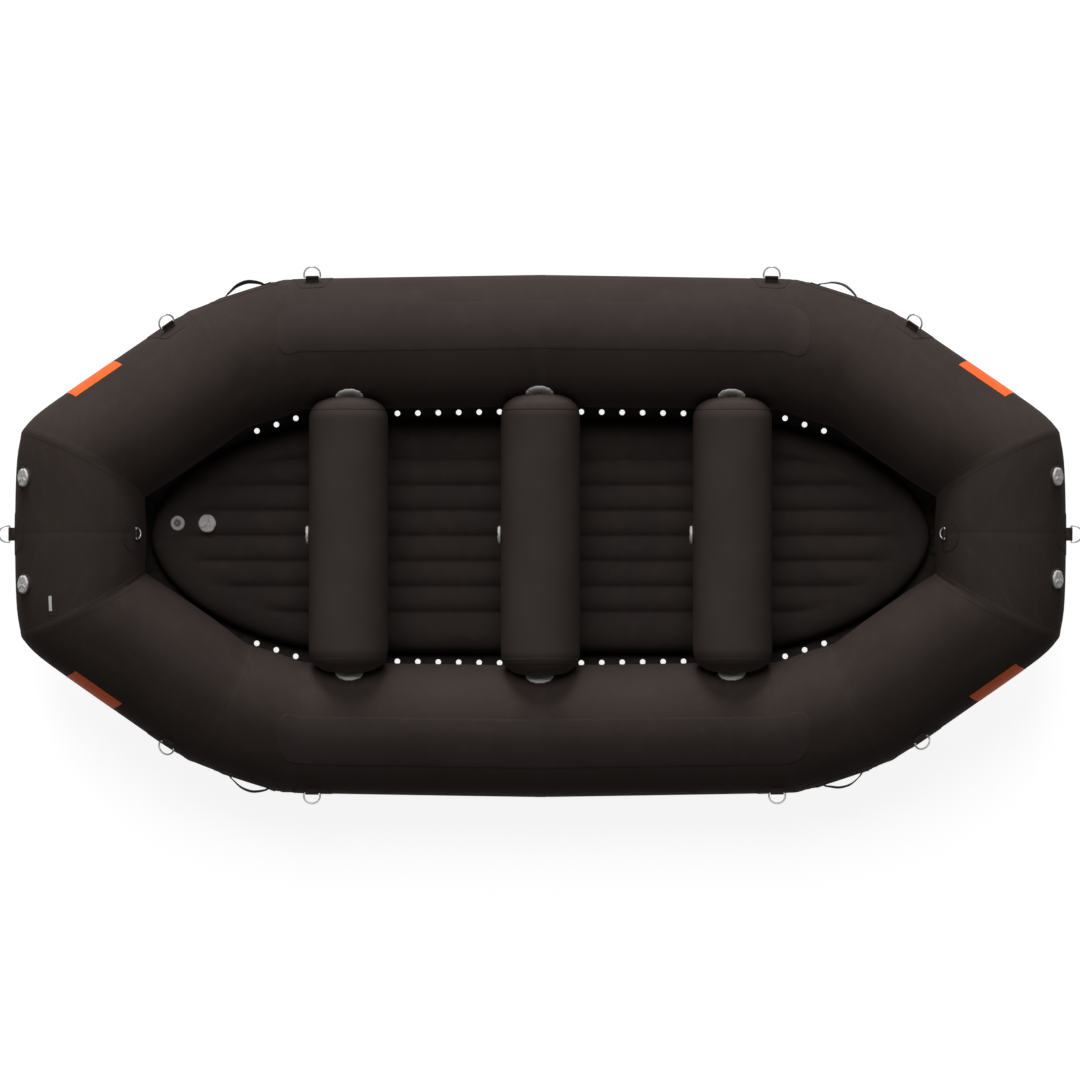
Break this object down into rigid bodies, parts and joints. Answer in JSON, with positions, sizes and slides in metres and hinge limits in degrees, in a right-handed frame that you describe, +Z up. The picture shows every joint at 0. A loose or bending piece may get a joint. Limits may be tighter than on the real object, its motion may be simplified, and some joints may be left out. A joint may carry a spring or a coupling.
{
  "type": "inflatable whitewater raft",
  "caption": "Inflatable self-bailing whitewater raft: upturned ring of air chambers, channelled floor with a perforated flap, cross thwarts, D-rings, carry handles and capped valves.",
  "frame": {"origin": "on the ground under the middle of the raft", "axes": "+X towards the bow, +Y to port, +Z up"},
  "size_m": [4.3914, 2.1842, 0.7331],
  "materials": {
    "baffle_fabric": "coated fabric, plain",
    "dark_plastic": "moulded, matt",
    "flap_fabric": "coated fabric, matt",
    "floor_fabric": "coated fabric, matt",
    "hull_fabric": "coated fabric, matt",
    "patch_fabric": "coated fabric, matt",
    "steel": "polished stainless wire",
    "thwart_fabric": "coated fabric, matt",
    "valve_plastic": "moulded, matt",
    "webbing": "woven nylon webbing"
  },
  "bodies": {
    "hull": {"baffle_bow": "baffle_fabric", "baffle_port": "baffle_fabric", "baffle_starboard": "baffle_fabric", "baffle_stern": "baffle_fabric", "bailing_flap": "flap_fabric", "carry_handle_port_bow": "webbing", "carry_handle_port_stern": "webbing", "carry_handle_starboard_bow": "webbing", "carry_handle_starboard_stern": "webbing", "chamber_port_bow": "hull_fabric", "chamber_port_stern": "hull_fabric", "chamber_starboard_bow": "hull_fabric", "chamber_starboard_stern": "hull_fabric", "d_ring_patch_bow_inner": "patch_fabric", "d_ring_patch_bow_outer": "patch_fabric", "d_ring_patch_quarter_bow_port": "patch_fabric", "d_ring_patch_quarter_bow_starboard": "patch_fabric", "d_ring_patch_quarter_stern_port": "patch_fabric", "d_ring_patch_quarter_stern_starboard": "patch_fabric", "d_ring_patch_side_bow_port": "patch_fabric", "d_ring_patch_side_bow_starboard": "patch_fabric", "d_ring_patch_side_stern_port": "patch_fabric", "d_ring_patch_side_stern_starboard": "patch_fabric", "d_ring_patch_stern_inner": "patch_fabric", "d_ring_patch_stern_outer": "patch_fabric", "floor_i_beams": "baffle_fabric", "floor_skin": "floor_fabric", "relief_valve_body": "valve_plastic", "thwart_bow": "thwart_fabric", "thwart_mid": "thwart_fabric", "thwart_stern": "thwart_fabric", "valve_body_chamber_port_bow": "valve_plastic", "valve_body_chamber_port_stern": "valve_plastic", "valve_body_chamber_starboard_bow": "valve_plastic", "valve_body_chamber_starboard_stern": "valve_plastic", "valve_body_floor": "valve_plastic", "valve_body_thwart_bow": "valve_plastic", "valve_body_thwart_mid": "valve_plastic", "valve_body_thwart_stern": "valve_plastic"},
    "d_ring_bow_inner": {"d_ring_bow_inner": "steel"},
    "d_ring_bow_outer": {"d_ring_bow_outer": "steel"},
    "d_ring_quarter_bow_port": {"d_ring_quarter_bow_port": "steel"},
    "d_ring_quarter_bow_starboard": {"d_ring_quarter_bow_starboard": "steel"},
    "d_ring_quarter_stern_port": {"d_ring_quarter_stern_port": "steel"},
    "d_ring_quarter_stern_starboard": {"d_ring_quarter_stern_starboard": "steel"},
    "d_ring_side_bow_port": {"d_ring_side_bow_port": "steel"},
    "d_ring_side_bow_starboard": {"d_ring_side_bow_starboard": "steel"},
    "d_ring_side_stern_port": {"d_ring_side_stern_port": "steel"},
    "d_ring_side_stern_starboard": {"d_ring_side_stern_starboard": "steel"},
    "d_ring_stern_inner": {"d_ring_stern_inner": "steel"},
    "d_ring_stern_outer": {"d_ring_stern_outer": "steel"},
    "relief_valve_plunger": {"relief_valve_plunger": "dark_plastic"},
    "valve_cap_chamber_port_bow": {"valve_cap_chamber_port_bow": "valve_plastic"},
    "valve_cap_chamber_port_stern": {"valve_cap_chamber_port_stern": "valve_plastic"},
    "valve_cap_chamber_starboard_bow": {"valve_cap_chamber_starboard_bow": "valve_plastic"},
    "valve_cap_chamber_starboard_stern": {"valve_cap_chamber_starboard_stern": "valve_plastic"},
    "valve_cap_floor": {"valve_cap_floor": "valve_plastic"},
    "valve_cap_thwart_bow": {"valve_cap_thwart_bow": "valve_plastic"},
    "valve_cap_thwart_mid": {"valve_cap_thwart_mid": "valve_plastic"},
    "valve_cap_thwart_stern": {"valve_cap_thwart_stern": "valve_plastic"}
  },
  "joints": [
    {"name": "d_ring_bow_inner_swing", "type": "hinge", "parent": "hull", "child": "d_ring_bow_inner", "pos_m": [1.6345, 0, 0.62176], "axis": [0, 1, 0], "range_deg": [0, 150]},
    {"name": "d_ring_bow_outer_swing", "type": "hinge", "parent": "hull", "child": "d_ring_bow_outer", "pos_m": [2.14968, 0, 0.52183], "axis": [0, -1, 0], "range_deg": [-90, 90]},
    {"name": "d_ring_quarter_bow_port_swing", "type": "hinge", "parent": "hull", "child": "d_ring_quarter_bow_port", "pos_m": [1.51266, 0.85188, 0.46527], "axis": [0.7999, -0.5593, 0.2174], "range_deg": [-90, 90]},
    {"name": "d_ring_quarter_bow_starboard_swing", "type": "hinge", "parent": "hull", "child": "d_ring_quarter_bow_starboard", "pos_m": [1.54246, -0.83104, 0.47337], "axis": [-0.7999, -0.5593, -0.2174], "range_deg": [-90, 90]},
    {"name": "d_ring_quarter_stern_port_swing", "type": "hinge", "parent": "hull", "child": "d_ring_quarter_stern_port", "pos_m": [-1.51266, 0.85188, 0.46527], "axis": [0.7999, 0.5593, -0.2174], "range_deg": [-90, 90]},
    {"name": "d_ring_quarter_stern_starboard_swing", "type": "hinge", "parent": "hull", "child": "d_ring_quarter_stern_starboard", "pos_m": [-1.51156, -0.85265, 0.46497], "axis": [-0.7999, 0.5593, 0.2174], "range_deg": [-90, 90]},
    {"name": "d_ring_side_bow_port_swing", "type": "hinge", "parent": "hull", "child": "d_ring_side_bow_port", "pos_m": [0.9392, 1.04827, 0.37767], "axis": [0.9999, -0.0151, 0], "range_deg": [-90, 90]},
    {"name": "d_ring_side_bow_starboard_swing", "type": "hinge", "parent": "hull", "child": "d_ring_side_bow_starboard", "pos_m": [0.96022, -1.04795, 0.37767], "axis": [-0.9999, -0.0151, 0], "range_deg": [-90, 90]},
    {"name": "d_ring_side_stern_port_swing", "type": "hinge", "parent": "hull", "child": "d_ring_side_stern_port", "pos_m": [-0.92718, 1.04845, 0.37767], "axis": [0.9999, 0.0151, 0], "range_deg": [-90, 90]},
    {"name": "d_ring_side_stern_starboard_swing", "type": "hinge", "parent": "hull", "child": "d_ring_side_stern_starboard", "pos_m": [-0.92718, -1.04845, 0.37767], "axis": [-0.9999, 0.0151, 0], "range_deg": [-90, 90]},
    {"name": "d_ring_stern_inner_swing", "type": "hinge", "parent": "hull", "child": "d_ring_stern_inner", "pos_m": [-1.6345, 0, 0.62176], "axis": [0, -1, 0], "range_deg": [0, 150]},
    {"name": "d_ring_stern_outer_swing", "type": "hinge", "parent": "hull", "child": "d_ring_stern_outer", "pos_m": [-2.14968, 0, 0.52183], "axis": [0, 1, 0], "range_deg": [-90, 90]},
    {"name": "relief_valve_press", "type": "slide", "parent": "hull", "child": "relief_valve_plunger", "axis": [-0.34, 0.0054, -0.9404], "range_m": [0, 0.003], "stiffness_N_per_m": 800, "springref_m": -0.004},
    {"name": "valve_cap_chamber_port_bow_turn", "type": "hinge", "parent": "hull", "child": "valve_cap_chamber_port_bow", "pos_m": [2.08678, 0.2304, 0.61351], "axis": [0.8341, 0, 0.5516], "range_deg": [0, 90]},
    {"name": "valve_cap_chamber_port_stern_turn", "type": "hinge", "parent": "hull", "child": "valve_cap_chamber_port_stern", "pos_m": [-2.08678, 0.22634, 0.61351], "axis": [-0.8341, 0, 0.5516], "range_deg": [0, 90]},
    {"name": "valve_cap_chamber_starboard_bow_turn", "type": "hinge", "parent": "hull", "child": "valve_cap_chamber_starboard_bow", "pos_m": [2.08678, -0.18519, 0.61351], "axis": [0.8341, 0, 0.5516], "range_deg": [0, 90]},
    {"name": "valve_cap_chamber_starboard_stern_turn", "type": "hinge", "parent": "hull", "child": "valve_cap_chamber_starboard_stern", "pos_m": [-2.08678, -0.20577, 0.61351], "axis": [-0.8341, 0, 0.5516], "range_deg": [0, 90]},
    {"name": "valve_cap_floor_turn", "type": "hinge", "parent": "hull", "child": "valve_cap_floor", "pos_m": [-1.358, 0.0515, 0.22244], "axis": [0.2834, 0.0057, 0.959], "range_deg": [0, 90]},
    {"name": "valve_cap_thwart_bow_turn", "type": "hinge", "parent": "hull", "child": "valve_cap_thwart_bow", "pos_m": [0.619, 0, 0.41456], "axis": [-1, 0, 0], "range_deg": [0, 90]},
    {"name": "valve_cap_thwart_mid_turn", "type": "hinge", "parent": "hull", "child": "valve_cap_thwart_mid", "pos_m": [-0.16, 0, 0.41456], "axis": [-1, 0, 0], "range_deg": [0, 90]},
    {"name": "valve_cap_thwart_stern_turn", "type": "hinge", "parent": "hull", "child": "valve_cap_thwart_stern", "pos_m": [-0.939, 0, 0.41456], "axis": [-1, 0, 0], "range_deg": [0, 90]}
  ]
}
